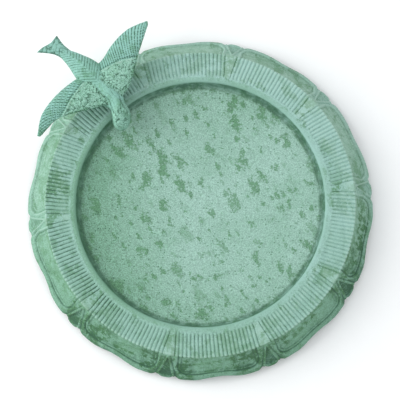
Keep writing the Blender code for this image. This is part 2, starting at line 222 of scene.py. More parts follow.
def weld(obj, distance=0.00001):
    """Merge points that lie together and turn every face outwards."""
    bm = bmesh.new()
    bm.from_mesh(obj.data)
    bmesh.ops.remove_doubles(bm, verts=bm.verts, dist=distance)
    bmesh.ops.dissolve_degenerate(bm, edges=bm.edges, dist=distance)
    bmesh.ops.recalc_face_normals(bm, faces=bm.faces)
    bm.to_mesh(obj.data)
    bm.free()
    obj.data.shade_smooth()


def hole_cutter(centre, radius, bottom, top, steps=48):
    return turned("hole", [(0.0, bottom), (radius, bottom), (radius, top), (0.0, top)], steps, centre)


def node_centre(name):
    low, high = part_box(name)
    return Vector(((low.x + high.x) / 2, (low.y + high.y) / 2, 0.0))


# ---- dish ---------------------------------------
class Section:
    """The upper surface's profile, sampled evenly and with its crest rounded.

    Its marks are distances along it from the middle of the floor: to the foot of the wall, the end
    of the lip, the inner ends of the reeds, the crest and the skirt's edge.
    """

    STEP = 0.0001
    ROUNDING = 0.0006

    def __init__(self):
        floor_r = np.linspace(0.0, FLOOR_R, 60)
        fillet = self.arc(FLOOR_R, self.floor_z(FLOOR_R) + FILLET_R, FILLET_R, -90, 0)
        lip = self.arc(RIM_INNER_R, RIM_INNER_Z - LIP_R, LIP_R, 180, 90)
        t = np.linspace(0.0, 1.0, 60)
        skirt = np.column_stack([
            CREST_R + (SKIRT_R - CREST_R) * t ** SKIRT_FLARE, CREST_Z - SKIRT_DROP * t])
        floor = np.column_stack([floor_r, self.floor_z(floor_r)])
        points = np.vstack([floor, fillet[1:], lip, skirt])
        along = np.concatenate([[0.0], np.cumsum(np.hypot(*np.diff(points, axis=0).T))])
        crest = along[len(points) - len(skirt)]
        rim = crest - (CREST_R - RIB_INNER_R)
        lip_end = crest - (CREST_R - RIM_INNER_R)
        self.marks = along[len(floor) - 1], lip_end, rim, crest, along[-1]
        self.stops = np.arange(0.0, along[-1], self.STEP)
        self.r = self.rounded(np.interp(self.stops, along, points[:, 0]))
        self.z = self.rounded(np.interp(self.stops, along, points[:, 1]))

    @staticmethod
    def floor_z(radius):
        return CREST_Z - BASIN_DEPTH + FLOOR_SAG * (radius / FLOOR_R) ** 2

    @staticmethod
    def arc(centre_r, centre_z, radius, start, end):
        angle = np.radians(np.linspace(start, end, 20))
        return np.column_stack([centre_r + radius * np.cos(angle), centre_z + radius * np.sin(angle)])

    def rounded(self, values):
        reach = int(4 * self.ROUNDING / self.STEP)
        kernel = hill(np.arange(-reach, reach + 1) * self.STEP, self.ROUNDING * math.sqrt(2))
        padded = np.pad(values, reach, mode="reflect", reflect_type="odd")
        return np.convolve(padded, kernel / kernel.sum(), mode="valid")

    def at(self, stop):
        """Radius, height and the outward normal's two parts at a distance from the middle."""
        i = min(max(int(round(stop / self.STEP)), 1), len(self.stops) - 2)
        dr = self.r[i + 1] - self.r[i - 1]
        dz = self.z[i + 1] - self.z[i - 1]
        size = math.hypot(dr, dz)
        return self.r[i], self.z[i], -dz / size, dr / size


def column_layout():
    """Angle of each grid column at the crest and at the reeds' inner ends, and its groove."""
    middles = LOBE_PHASE + LOBE_ANGLE * np.arange(LOBES)[:, None]
    gap = np.arange(GAP_STEPS) / GAP_STEPS - 0.5
    reed = np.arange(RIBS_PER_LOBE * RIB_STEPS)

    def angles(wedge):
        reeds = wedge / 2 + reed / len(reed) * (LOBE_ANGLE - wedge)
        return (middles + np.concatenate([gap * wedge, reeds])).ravel()

    groove = np.concatenate([gap == gap[0], np.abs(2 * (reed % RIB_STEPS) / RIB_STEPS - 1) ** 3])
    return angles(WEDGE_CREST), angles(WEDGE_INNER), np.tile(groove, LOBES)


def from_tongue(angles):
    """Signed angle to the nearest tongue's middle, in radians."""
    return (angles - LOBE_PHASE + LOBE_ANGLE / 2) % LOBE_ANGLE - LOBE_ANGLE / 2


def lobe_mood(angles, seed):
    """Repeatable value from 0 to 1 that wanders slowly round the dish."""
    ring = np.column_stack([np.cos(angles) * 3.0, np.sin(angles) * 3.0, np.full(len(angles), 0.5)])
    return np.clip(0.5 + 0.9 * noise(ring, 1.0, seed), 0.0, 1.0)


def painted_side_shade(points, down):
    """Painted shade, as a wash from pale (0) to mid green (1): most at the left and front."""
    x, y = points[:, 0], points[:, 1]
    if down <= FLOOR_PAINT_END:
        # The floor: the painted shadow of the left wall, and painted shade towards its far and near ends.
        left = smoothstep(0.0, 0.104, -0.97 * x - 0.25 * y)
        ends = 0.42 * smoothstep(0.045, 0.105, y) + 0.34 * smoothstep(0.045, 0.105, -y)
        return 0.92 * left + ends * (1 - left)
    # The reeds and the skirt: painted shade at the left and front; the skirt has some everywhere.
    left = -x / SKIRT_R
    front = smoothstep(-0.05, 0.65, -y / SKIRT_R)
    if down <= 0:
        return 0.24 * smoothstep(0.0, 0.8, left) + 0.34 * front
    return np.clip(0.28 + 0.72 * front + 0.28 * smoothstep(0.2, 0.9, left), 0.0, 1.0)


def lobe_offset(angles):
    """How far the skirt's edge comes in and up, as in the frame."""
    away = np.abs(np.degrees(from_tongue(angles)))
    run = np.clip((away - LOBE_CREST_DEG) / (VALLEY_DEG - LOBE_CREST_DEG), 0.0, 1.0)
    valley = 0.5 - 0.5 * np.cos(math.pi * run)
    notch = hill(away - NOTCH_DEG, NOTCH_WIDTH_DEG)
    return VALLEY_IN * valley + NOTCH_IN * notch, VALLEY_UP * valley + NOTCH_UP * notch


def skirt_relief(side, down, length):
    """Height and shade of the cast pattern and the shares of panel and tongue in it.

    The side is the distance to a tongue's middle, and down is the distance from the crest.
    """
    side = np.abs(side)
    leg = TONGUE_SPREAD * max(down - TONGUE_APEX, 0.0) / (length - TONGUE_APEX)
    fade = smoothstep(TONGUE_APEX - 0.001, TONGUE_APEX + 0.002, down)
    ridge = hill(side - leg, TONGUE_RIDGE_WIDTH) * fade
    inside = smoothstep(0.0004, 0.0016, leg - side)
    inside = inside * (1 - smoothstep(length - 0.0045, length - 0.0025, down))
    strokes = 0.5 + 0.5 * np.cos(2 * math.pi * (down / STROKE_DOWN + side / STROKE_ACROSS))

    beyond = PANEL_SIDE + PANEL_CORNER - side
    below = down - (PANEL_FOOT - PANEL_CORNER)
    border = np.hypot(np.maximum(beyond, 0), max(below, 0)) - PANEL_CORNER
    border = border + np.minimum(np.maximum(beyond, below), 0)
    start = smoothstep(0.0005, 0.003, down)
    bead = hill(border + BEAD_INSET, FINE_WIDTH)
    frame_ridge = (hill(border, PANEL_RIDGE_WIDTH) + 0.6 * bead) * start
    panel = smoothstep(0.0006, 0.0020, -border) * start

    height = TONGUE_RIDGE * ridge - TONGUE_RECESS * inside * (0.6 + 0.4 * strokes)
    height = height + PANEL_RIDGE * frame_ridge - PANEL_RECESS * panel
    # Painted shadow lines just beside the tongue's ridges and inside the panel's ridges.
    beside = hill(side - leg - 0.0016, FINE_WIDTH) * fade
    under = (hill(border + 0.0017, FINE_WIDTH) + 0.6 * hill(border + 0.0047, FINE_WIDTH)) * start
    shade = 0.50 * inside * (0.35 + 0.65 * strokes) + 0.60 * beside + 0.50 * under
    # Painted highlights on the ridges.
    return height, shade - 0.40 * ridge - 0.30 * frame_ridge, panel, 0.35 * inside


def spread(stretches, last):
    """(distance along the section, columns) of each ring in the stretches, and of the last one."""
    stops = []
    for start, end, spacing, fewer in stretches:
        count = max(1, round(abs(end - start) / spacing))
        stops += [(start + (end - start) * i / count, COLUMNS // fewer) for i in range(count)]
    return stops + [last]


def upper_stops(section):
    """Rings of the upper side, from the middle out to the edge, closest where the relief is finest."""
    wall, _, rim, crest, edge = section.marks
    return spread([
        (0.0020, 0.0120, 0.0014, 32),
        (0.0120, 0.0300, 0.0014, 16),
        (0.0300, 0.0560, 0.0013, 8),
        (0.0560, wall - 0.001, 0.0013, 4),
        (wall - 0.001, rim - 0.0008, 0.0007, 2),
        (rim - 0.0008, rim + 0.003, 0.0006, 1),
        (rim + 0.003, crest - 0.002, 0.0021, 1),
        (crest - 0.002, crest + 0.003, 0.0005, 1),
        (crest + 0.003, edge - EDGE_ROUND, 0.00078, 1),
    ], (edge - EDGE_ROUND, COLUMNS))


def lower_stops(section):
    """Rings of the underside, from the edge back to the middle."""
    wall, lip, _, crest, edge = section.marks
    return spread([
        (edge - EDGE_ROUND, edge - 0.003, 0.001, 1),
        (edge - 0.003, crest + 0.0034, 0.0019, 4),
        (crest - 0.0034, lip + 0.001, 0.003, 4),
        (lip + 0.001, lip - 0.0025, 0.0007, 4),
        (lip - 0.0025, wall - 0.002, 0.0012, 4),
        (wall - 0.002, 0.056, 0.0027, 4),
        (0.056, 0.012, 0.0027, 8),
        (0.012, 0.003, 0.0027, 32),
    ], (0.003, COLUMNS // 32))


def inner_relief(section, stop, angles, groove, blotchiness):
    """Height, shade, patch and lip share from the floor over the wall and the lip to the reeds."""
    wall, lip_end, rim, crest, _ = section.marks
    down = stop - crest
    ribs = smoothstep(rim - 0.0006, rim + 0.0018, stop)
    ribs = ribs * (1 - smoothstep(0.0004, 0.0034, down))
    lip = smoothstep(lip_end - 0.0008, lip_end + 0.0004, stop)
    lip = lip * (1 - smoothstep(rim, rim + 0.0015, stop))
    corner = smoothstep(wall - 0.003, wall + 0.0008, stop)
    corner = corner * (1 - smoothstep(lip_end - 0.0036, lip_end - 0.0022, stop))

    # Painted light: on the side that faces the lamp the reeds' tops are paler, their grooves lighter and
    # their green spots fewer.
    lit_side = 0.5 + 0.5 * np.cos(angles - LIT_SIDE)
    # The reeds' tops are paler: rubbed paint, and also a painted highlight.
    tops = (1 - groove) ** 3 * ribs * (1.1 - blotchiness) * (1 + 0.7 * lit_side)
    # Darker in the grooves: patina in the hollows, deepened as painted shade.
    dark_grooves = groove * ribs * (0.40 + 0.60 * blotchiness) * (1 - 0.50 * lit_side)
    spots = smoothstep(0.35, 0.75, lobe_mood(angles * 1.3, 41)) * (1 - 0.7 * lit_side)
    # Painted highlight on the flat band of the lip, and painted shade at the foot of the basin's wall.
    shade = dark_grooves * (1 + 0.5 * spots) - 0.30 * tops - 0.16 * lip + 0.62 * corner
    # Painted highlight along the crest.
    shade = shade - 0.36 * hill(down, 0.0014)

    share = smoothstep(rim, crest, stop)
    wedge = (WEDGE_INNER + (WEDGE_CREST - WEDGE_INNER) * share) / 2
    beside = np.abs(from_tongue(angles)) - wedge
    patch = np.maximum((1 - smoothstep(0.0, 0.05, beside)) * 0.9, spots) * ribs
    patch = patch + corner * smoothstep(0.1, 0.6, lobe_mood(angles * 2.7, 42)) * 0.9
    return -GROOVE_DEPTH * groove * ribs, shade, patch, lip


def outer_relief(section, stop, angles, blotchiness):
    """Height, shade, patch and panel share of the skirt, with moss, more patches and painted shade where
    it faces forwards.
    """
    *_, crest, edge = section.marks
    down = stop - crest
    length = edge - crest
    side = from_tongue(angles) * section.at(stop)[0]
    height, shade, panel, tongue = skirt_relief(side, down, length)
    front = smoothstep(-0.3, 0.5, -np.sin(angles))
    moss = smoothstep(0.35, 0.60, lobe_mood(angles * 1.9, 44)) * front
    patch = tongue + panel * (0.45 + 0.55 * front) * smoothstep(0.2, 0.6, blotchiness)
    patch = patch + 1.2 * moss * smoothstep(0.0, 0.006, down)
    low = smoothstep(0.45 * length, length, down)
    shade = shade - 0.20 * (1 - panel) * (1 - tongue)
    # Painted shade over the front of the skirt, deepest towards its lower edge and over the moss.
    shade = shade + front * (0.16 + 0.30 * low * (0.5 + blotchiness)) + 0.22 * moss
    return height, shade, patch, panel


def dish_rings(section):
    """Every ring of the dish: its points and the values that steer its paint."""
    crest_angles, inner_angles, groove = column_layout()
    even_angles = np.arange(COLUMNS) * 2 * math.pi / COLUMNS + crest_angles[0]
    wall, _, rim, crest, edge = section.marks
    rings = []

    def add(stop, columns, offset, slide, upper):
        take = slice(None, None, COLUMNS // columns)
        share = smoothstep(rim, crest, stop)
        angles = inner_angles + (crest_angles - inner_angles) * share
        even = 1 - smoothstep(wall, rim - 0.001, stop)
        angles = (angles + (even_angles - angles) * even)[take]
        down = stop - crest
        # Random blotchy variation of the reeds' darkness, the skirt's patches and the skirt's painted
        # shade.
        blotchiness = lobe_mood(angles * 1.7 + stop * 60.0, 43)
        height, shade, patch, lip = inner_relief(section, stop, angles, groove[take], blotchiness)
        panel = 0.0
        if down > 0:
            skirt_height, skirt_shade, skirt_patch, panel = outer_relief(section, stop, angles, blotchiness)
            height = height + skirt_height
            shade = shade + skirt_shade
            patch = patch + skirt_patch
        if not upper:
            height = np.zeros(columns)
            shade = np.full(columns, UNDER_SHADE)

        r, z, nr, nz = section.at(stop)
        fall = min(max(CREST_Z - z, 0.0) / SKIRT_DROP, 1.0) ** 2 if down > 0 else 0.0
        inward, upward = lobe_offset(angles)
        out = height - offset
        radius = r - inward * fall + nr * out + nz * slide
        level = z + upward * fall + nz * out - nr * slide
        points = polar(radius, angles, level)

        reeds = smoothstep(rim - 0.002, rim + 0.001, stop) * (down <= 0)
        floor = 1 - smoothstep(wall - 0.001, wall + 0.003, stop)
        skirt = smoothstep(-0.001, 0.001, down)
        rough = floor + 0.12 + 0.3 * reeds + 0.5 * skirt
        coarse = noise(points, 0.013, 3) * 0.00022 + noise(points, 0.005, 4) * 0.00010
        fine = noise(points, 0.0019, 5) * 0.00009
        push = (coarse * (0.3 + 0.7 * skirt) + fine * rough) * (1.0 if upper else 1.5)
        points += push[:, None] * polar(nr, angles, nz)
        # Painted shade by side of the dish; the pits and dabs are thicker there too.
        shade_wash = painted_side_shade(points, down)
        rings.append({
            "points": points,
            "hollows_and_painted_light": shade,
            "pits": np.clip(rough + 0.35 * lip, 0.0, 1.0) * (0.85 + 0.45 * shade_wash),
            "dabs": floor * (0.85 + 0.75 * shade_wash) + 0.10 + 0.50 * reeds + 0.75 * skirt + 0.4 * lip,
            "tint": np.full(columns, 0.30 * floor + 0.20 * skirt + 0.35 + 0.45 * panel),
            "patch": patch,
            "shade_wash": shade_wash,
        })

    for stop, columns in upper_stops(section):
        add(stop, columns, 0.0, 0.0, True)
    for turn in (0.25, 0.5, 0.75):
        angle = math.pi * turn
        offset = WALL / 2 * (1 - math.cos(angle))
        add(edge - EDGE_ROUND, COLUMNS, offset, EDGE_ROUND * math.sin(angle), False)
    for stop, columns in lower_stops(section):
        add(stop, columns, WALL, 0.0, False)
    return rings


def stitch(first, n, second, m):
    """Faces between two neighbouring rings with as many, twice or half the columns."""
    if n == m:
        return [(first + j, second + j, second + (j + 1) % n, first + (j + 1) % n) for j in range(n)]
    faces = []
    few = min(n, m)
    for j in range(few):
        k = (j + 1) % few
        a, b, c = ((2 * j + i) % (2 * few) for i in range(3))
        if n < m:
            faces.append((first + j, second + a, second + b))
            faces.append((first + j, second + b, first + k))
            faces.append((first + k, second + b, second + c))
        else:
            faces.append((first + a, second + j, first + b))
            faces.append((first + b, second + j, second + k))
            faces.append((first + b, second + k, first + c))
    return faces


def halve_steps(rings):
    """Add rings so that no ring has under half the columns of its neighbour."""
    result = [rings[0]]
    for ring in rings[1:]:
        while len(ring["points"]) * 2 < len(result[-1]["points"]):
            last = result[-1]
            mixed = {key: values[::2] for key, values in last.items()}
            mixed["points"] = mixed["points"] + ring_step(last, ring) * 0.3
            result.append(mixed)
        result.append(ring)
    return result


def ring_step(last, ring):
    """Move from one ring towards the next that has fewer columns, for every second column."""
    many = last["points"][::2]
    few = ring["points"]
    index = np.arange(len(many)) * len(few) // len(many)
    here = np.hypot(many[:, 0], many[:, 1])
    there = np.hypot(few[index, 0], few[index, 1])
    scale = (there / here)[:, None]
    step = many * (scale - 1)
    step[:, 2] = few[index, 2] - many[:, 2]
    return step


def make_dish():
    section = Section()
    rings = halve_steps(dish_rings(section))
    n = len(rings[0]["points"])
    faces = [(0, 1 + j, 1 + (j + 1) % n) for j in range(n)]
    start = 1
    for ring, following in zip(rings, rings[1:]):
        n, m = len(ring["points"]), len(following["points"])
        faces += stitch(start, n, start + n, m)
        start += n
    n = len(rings[-1]["points"])
    faces += [(start + j, start + n, start + (j + 1) % n) for j in range(n)]
    middle = np.array([0.0, 0.0, section.at(0)[1]])
    points = np.vstack([middle, *(ring["points"] for ring in rings), middle - (0.0, 0.0, WALL)])
    points[:, :2] += (AXIS.x, AXIS.y)
    points = np.clip(points, np.array(BOWL_LOW), np.array(BOWL_HIGH))
    attributes = {}
    for key in ("hollows_and_painted_light", "pits", "dabs", "tint", "patch", "shade_wash"):
        values = np.concatenate([ring[key] for ring in rings])
        attributes[key] = np.concatenate([[values[0]], values, [values[-1]]])
    dish = new_object("dish_casting", points, faces, attributes)
    finish_dish(dish, section)
    return dish


def finish_dish(dish, section):
    """Bosses for the feet under the floor, and the holes for the screws and the stud."""
    bosses, holes = [], []
    for i in (1, 2, 3):
        centre = node_centre(f"foot_{i}")
        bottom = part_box(f"foot_{i}")[1].z + GAP
        under = section.floor_z((centre - AXIS).length) - WALL
        boss = turned("boss", [
            (0.0, bottom),
            (BOSS_R - 0.0006, bottom),
            (BOSS_R, bottom + 0.0006),
            (BOSS_R + 0.0002, under - 0.0008),
            (BOSS_R + 0.0012, under + 0.0004),
            (BOSS_R + 0.0016, under + 0.0016),
            (0.0, under + 0.0016),
        ], 64, centre)
        set_attributes(boss, BOSS_PAINT)
        bosses.append(boss)
        screw_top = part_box(f"foot_screw_{i}")[1].z
        holes.append(hole_cutter(centre, SCREW_R + HOLE_CLEARANCE, 0.0, screw_top + 2 * GAP))
    cut(dish, bosses, "UNION")
    washer_low, washer_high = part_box("bird_washer")
    seat_r = (washer_high.x - washer_low.x) / 2 + 0.0012
    seat_top = washer_high.z + GAP
    centre = node_centre("bird_stud")
    holes.append(hole_cutter(centre, seat_r, seat_top - WALL, seat_top, 64))
    holes.append(hole_cutter(centre, STUD_R + HOLE_CLEARANCE, seat_top - WALL, CREST_Z + WALL))
    cut(dish, holes)


# ---- swallow ------------------------------------
# Its own frame: +X out of the beak, +Y to its left, Z = 0 at the crest and the stud at X = Y = 0.
# Body stations: (x, half width, half height, height of the middle, y of the middle)
BODY_STATIONS = [
    (-0.052, 0.0045, 0.0030, 0.0215, -0.0020),
    (-0.042, 0.0075, 0.0062, 0.0185, 0.0010),
    (-0.028, 0.0115, 0.0098, 0.0155, 0.0030),
    (-0.012, 0.0125, 0.0114, 0.0118, 0.0030),
    (0.000, 0.0112, 0.0138, 0.0094, 0.0036),
    (0.010, 0.0078, 0.0096, 0.0126, 0.0035),
    (0.016, 0.0079, 0.0086, 0.0125, 0.0008),
    (0.021, 0.0092, 0.0088, 0.0110, -0.0012),
    (0.026, 0.0086, 0.0078, 0.0090, -0.0030),
    (0.030, 0.0052, 0.0050, 0.0070, -0.0042),
    (0.0315, 0.0018, 0.0018, 0.0060, -0.0045),
]
# Wings and tail: (x, y) along the front and the back edge, from root to tip
LEFT_WING = {
    "front": [(0.010, 0.006), (0.009, 0.018), (0.002, 0.031), (-0.008, 0.046), (-0.022, 0.0695)],
    "back": [(-0.026, 0.006), (-0.026, 0.019), (-0.030, 0.034), (-0.0312, 0.053), (-0.025, 0.0712)],
    "length": 0.075, "lines": 0.95, "stipple": 0.45,
}
RIGHT_WING = {
    "front": [
        (0.008, -0.002), (0.004, -0.010), (-0.004, -0.027), (-0.0112, -0.044), (-0.0095, -0.0662)],
    "back": [
        (-0.026, -0.002), (-0.0285, -0.012), (-0.0285, -0.032), (-0.0238, -0.052), (-0.0118, -0.0676)],
    "length": 0.068, "lines": 0.55, "stipple": 1.5,
}
TAIL = {
    "front": [(-0.040, 0.0050), (-0.050, 0.0040), (-0.058, 0.0028), (-0.0675, 0.0040)],
    "back": [(-0.040, -0.0045), (-0.050, -0.0065), (-0.058, -0.0105), (-0.0672, -0.0195)],
}
WING = {"root_z": 0.0165, "tip_z": 0.0215, "root_t": 0.0075, "tip_t": 0.0026, "camber": 0.0025}
TAIL_BLADE = {"root_z": 0.0190, "tip_z": 0.0240, "root_t": 0.0050, "tip_t": 0.0030, "camber": 0.0}
TAIL_NOTCH = 0.0022
TAIL_NOTCH_AT = 0.36
BEAK_LENGTH = 0.0085
BEAK_R = 0.0024
BEAK_PLACE = (0.0275, -0.0038, 0.0020)
BEAK_TILT = math.radians(160.0)
BIRD_VOXEL = 0.00045
QUILL_PITCH = 0.0040  # between the wings' flight feathers
BARB_PITCH = 0.0019  # between the pricks across one of them
HERRINGBONE_PITCH = 0.0030  # between the barbs on the back and the tail
WING_CHORD = 0.034
CREASE_CELL = 0.0016  # size of the folds in the small feathers


def smooth_curve(points, u):
    """Point at u, 0 to 1, on a Catmull-Rom curve through evenly spaced stations."""
    points = np.array(points)
    last = len(points) - 1
    i = min(int(u * last), last - 1)
    t = u * last - i
    a, b, c, d = points[max(i - 1, 0)], points[i], points[i + 1], points[min(i + 2, last)]
    return b + 0.5 * t * (c - a + t * (2 * a - 5 * b + 4 * c - d + t * (3 * (b - c) + d - a)))


def body_rings(ring_count=60, sides=48):
    rings = []
    for i in range(ring_count + 1):
        x, half_width, half_height, mid_z, mid_y = smooth_curve(BODY_STATIONS, i / ring_count)
        angle = np.arange(sides) * 2 * math.pi / sides
        rings.append(np.column_stack([
            np.full(sides, x), mid_y + half_width * np.cos(angle), mid_z + half_height * np.sin(angle)]))
    return rings


def blade_rings(edges, blade, notch=0.0, ring_count=70, sides=56):
    """Rings of a lens-shaped blade, with each point's share along it and angle around it."""
    rings, places = [], []
    for i in range(ring_count + 1):
        u = i / ring_count
        front = smooth_curve(edges["front"], u)
        back = smooth_curve(edges["back"], u)
        angle = np.arange(sides) * 2 * math.pi / sides
        v = (1 - np.cos(angle)) / 2
        mid_z = blade["root_z"] + (blade["tip_z"] - blade["root_z"]) * u
        thickness = blade["root_t"] + (blade["tip_t"] - blade["root_t"]) * u
        bite = notch * u ** 2 * np.maximum(0.0, 1 - np.abs(v - TAIL_NOTCH_AT) / TAIL_NOTCH_AT)
        rings.append(np.column_stack([
            front[0] + (back[0] - front[0]) * v + bite,
            front[1] + (back[1] - front[1]) * v,
            mid_z + blade["camber"] * 4 * v * (1 - v) * (1 - u) + thickness / 2 * np.sin(angle),
        ]))
        places.append(np.column_stack([np.full(sides, u), angle]))
    return rings, np.vstack(places)


def directions(rings):
    """How far each point of the rings moves for a unit step along and around them."""
    grid = np.array(rings)
    along = np.gradient(grid, 1 / (len(grid) - 1), axis=0)
    step = 2 * math.pi / grid.shape[1]
    around = (np.roll(grid, -1, axis=1) - np.roll(grid, 1, axis=1)) / (2 * step)
    return along.reshape(-1, 3), around.reshape(-1, 3)


def loft_faces(ring_count, sides, start):
    faces = []
    for i in range(ring_count - 1):
        for k in range(sides):
            n = (k + 1) % sides
            row, following = start + i * sides, start + (i + 1) * sides
            faces.append((row + k, row + n, following + n, following + k))
    for row in (start, start + (ring_count - 1) * sides):
        for k in range(sides // 2):
            corners = dict.fromkeys((k, k + 1, sides - k - 1, (sides - k) % sides))
            faces.append(tuple(row + corner for corner in corners))
    return faces


def beak_points(sides=24, ring_count=8):
    """Cone that points forwards and down, as rings along its length."""
    tilt = Matrix.Translation(BEAK_PLACE) @ Matrix.Rotation(BEAK_TILT, 4, "Y")
    angles = np.arange(sides) * 2 * math.pi / sides
    rings = []
    for along in np.linspace(0.0, 1.0, ring_count + 1):
        radius = BEAK_R * (1 - 0.88 * along)
        height = BEAK_LENGTH * (along - 0.5)
        ring = polar(radius, angles, height)
        rings.append(np.array([tilt @ Vector(point) for point in ring]))
    return rings


def bird_matrix():
    """From the swallow's own frame to the dish's."""
    stud = node_centre("bird_stud")
    out = stud - AXIS
    heading = math.atan2(out.y, out.x) + math.pi
    place = Matrix.Translation(stud + Vector((0.0, 0.0, CREST_Z)))
    return place @ Matrix.Rotation(heading, 4, "Z")


def wrinkles(points, cell, seed):
    """Thin wandering creases, 1 in a crease and 0 beside it."""
    return hill(noise(points, cell, seed) + 0.25 * noise(points, cell / 2, seed + 1), 0.17)


def herringbone(along, side, slant):
    """Barbs that slant back on both sides of a spine, 1 in the line between two."""
    return (np.abs((along + slant * np.abs(side)) / HERRINGBONE_PITCH % 1.0 - 0.5) * 2) ** 4


def wing_relief(wing, u, v, points):
    """Height, shade and covert share of a wing's upper side.

    The coverts lie along its front, and the flight feathers behind them, beyond a raised line.
    """
    chord = WING_CHORD * (1 - 0.72 * u)
    across = v * chord
    off = (v - 0.80 * (1 - np.clip(u / 0.70, 0.0, 1.0) ** 2.2)) * chord
    flight = smoothstep(0.0, 0.0012, off)
    covert = 1 - flight
    place = (u * wing["length"] - 0.9 * across) / QUILL_PITCH
    quill = (np.abs(place % 1.0 - 0.5) * 2) ** 3
    dots = (0.5 + 0.5 * np.cos(2 * math.pi * across / BARB_PITCH)) ** 2
    dots = dots * (0.5 + 0.5 * np.cos(4 * math.pi * place)) ** 2 * flight * wing["stipple"]
    # Painted shade that deepens across each flight feather, and painted highlights between the quill
    # lines.
    shade = (wing["lines"] * quill + 0.22 * (place % 1.0) - 0.12 * (1 - quill) ** 2) * flight
    height = (-0.00055 * quill - 0.00030) * flight - 0.00030 * dots
    shade = shade + 0.70 * dots

    inner = 1 - smoothstep(0.66, 0.72, u)
    ridge = hill(off, 0.0007) * smoothstep(0.05, 0.15, u) * inner
    under = hill(off - 0.0015, 0.0007) * inner
    crease = wrinkles(points, CREASE_CELL, 31)
    height = height + 0.00060 * ridge - 0.00042 * crease * covert
    # Painted highlight on the raised line and a painted shadow line beside it; the creases are dark, with
    # painted highlights between them.
    shade = shade - 0.6 * ridge + 0.45 * under + (0.95 * crease - 0.20 * (1 - crease)) * covert
    # Painted shade along the wing's front edge and at the root of the coverts.
    shade = shade + 0.45 * (1 - smoothstep(0.0, 0.10, v)) + 0.5 * hill(u, 0.10) * covert
    return height, shade, covert


def tail_relief(u, v, points):
    """Height and shade of the tail's upper side, with its central quill."""
    across = (v - 0.42) * (0.010 + 0.014 * u)
    line = herringbone(u * 0.028, across, 0.8) * (1 - 0.7 * smoothstep(0.3, 0.7, u))
    spine = hill(across, 0.0006)
    crease = wrinkles(points, 0.0022, 35)
    edge = np.maximum(0.8 * smoothstep(0.32, 0.48, np.abs(v - 0.5)), 0.6 * smoothstep(0.90, 1.0, u))
    height = -0.00038 * line + 0.0003 * spine - 0.0003 * crease
    return height, 0.65 * line - 0.1 * spine + 0.55 * crease + 0.5 * edge + 0.15


def body_relief(x, side, points):
    """Height, shade and head share of the back, the neck and the head."""
    back = 1 - smoothstep(-0.016, -0.006, x)
    line = herringbone(x, side, 0.9)
    spine = hill(side, 0.0006)
    neck = smoothstep(-0.004, 0.003, x) * (1 - smoothstep(0.017, 0.022, x))
    sway = 0.0009 * np.sin(x / 0.0026)
    folds = hill(side - 0.0052 - sway, 0.0007) + hill(side - 0.0026 + sway, 0.0005) * 0.8
    folds = folds + hill(side + 0.0054 - sway, 0.0007) + hill(side + 0.0020 - sway, 0.0005) * 0.7
    head = smoothstep(0.010, 0.018, x)
    crease = wrinkles(points, 0.0018, 37) * (0.40 + 0.60 * head)
    eye = hill(x - 0.0235, 0.0006) * smoothstep(0.0015, 0.0035, np.abs(side)) * (np.abs(side) < 0.007)
    height = (-0.00042 * line + 0.0003 * spine) * back - 0.00045 * folds * neck
    height = height - 0.00032 * crease - 0.0004 * eye
    shade = (0.95 * line - 0.1 * spine) * back + 0.65 * folds * neck
    # Painted highlights between the creases.
    shade = shade + 0.70 * crease - 0.10 * (1 - crease) + 0.8 * eye
    return height, shade, head


def make_bird():
    """Loft the body, wings, tail and beak, remesh them as one skin and carve the feathers."""
    shapes = [
        ("body", body_rings(), None),
        ("left", *blade_rings(LEFT_WING, WING)),
        ("right", *blade_rings(RIGHT_WING, WING)),
        ("tail", *blade_rings(TAIL, TAIL_BLADE, TAIL_NOTCH)),
        ("beak", beak_points(), None),
    ]
    samples, faces, owners, places, steps = [], [], [], [], []
    for name, rings, place in shapes:
        sides = len(rings[0])
        size = len(rings) * sides
        faces += loft_faces(len(rings), sides, len(owners))
        samples.append(np.vstack(rings))
        owners += [name] * size
        places.append(np.zeros((size, 2)) if place is None else place)
        steps.append(np.stack(directions(rings), axis=1))
    samples = np.vstack(samples)
    bird = new_object("swallow_casting", samples, faces)
    weld(bird)
    remesh = bird.modifiers.new("skin", "REMESH")
    remesh.mode = "VOXEL"
    remesh.voxel_size = BIRD_VOXEL
    soften = bird.modifiers.new("soften", "SMOOTH")
    soften.factor = 0.5
    soften.iterations = 6
    apply_modifiers(bird)
    carve_feathers(bird, samples, np.array(owners), np.vstack(places), np.vstack(steps))
    bird.data.transform(bird_matrix())
    seat_bird(bird)
    return bird


def vectors(obj, name):
    """Places or normals of an object's vertices."""
    values = np.zeros(len(obj.data.vertices) * 3)
    obj.data.vertices.foreach_get(name, values)
    return values.reshape(-1, 3)


def loft_places(points, samples, owners, places, steps):
    """The loft that each point lies on, and its shares along and across it."""
    tree = KDTree(len(samples))
    for i, sample in enumerate(samples):
        tree.insert(sample, i)
    tree.balance()
    nearest = np.array([tree.find(point)[1] for point in points])
    away = points - samples[nearest]
    along, around = steps[nearest, 0], steps[nearest, 1]
    u = places[nearest, 0] + (away * along).sum(axis=1) / (along ** 2).sum(axis=1)
    angle = places[nearest, 1] + (away * around).sum(axis=1) / (around ** 2).sum(axis=1)
    return owners[nearest], u, (1 - np.cos(angle)) / 2


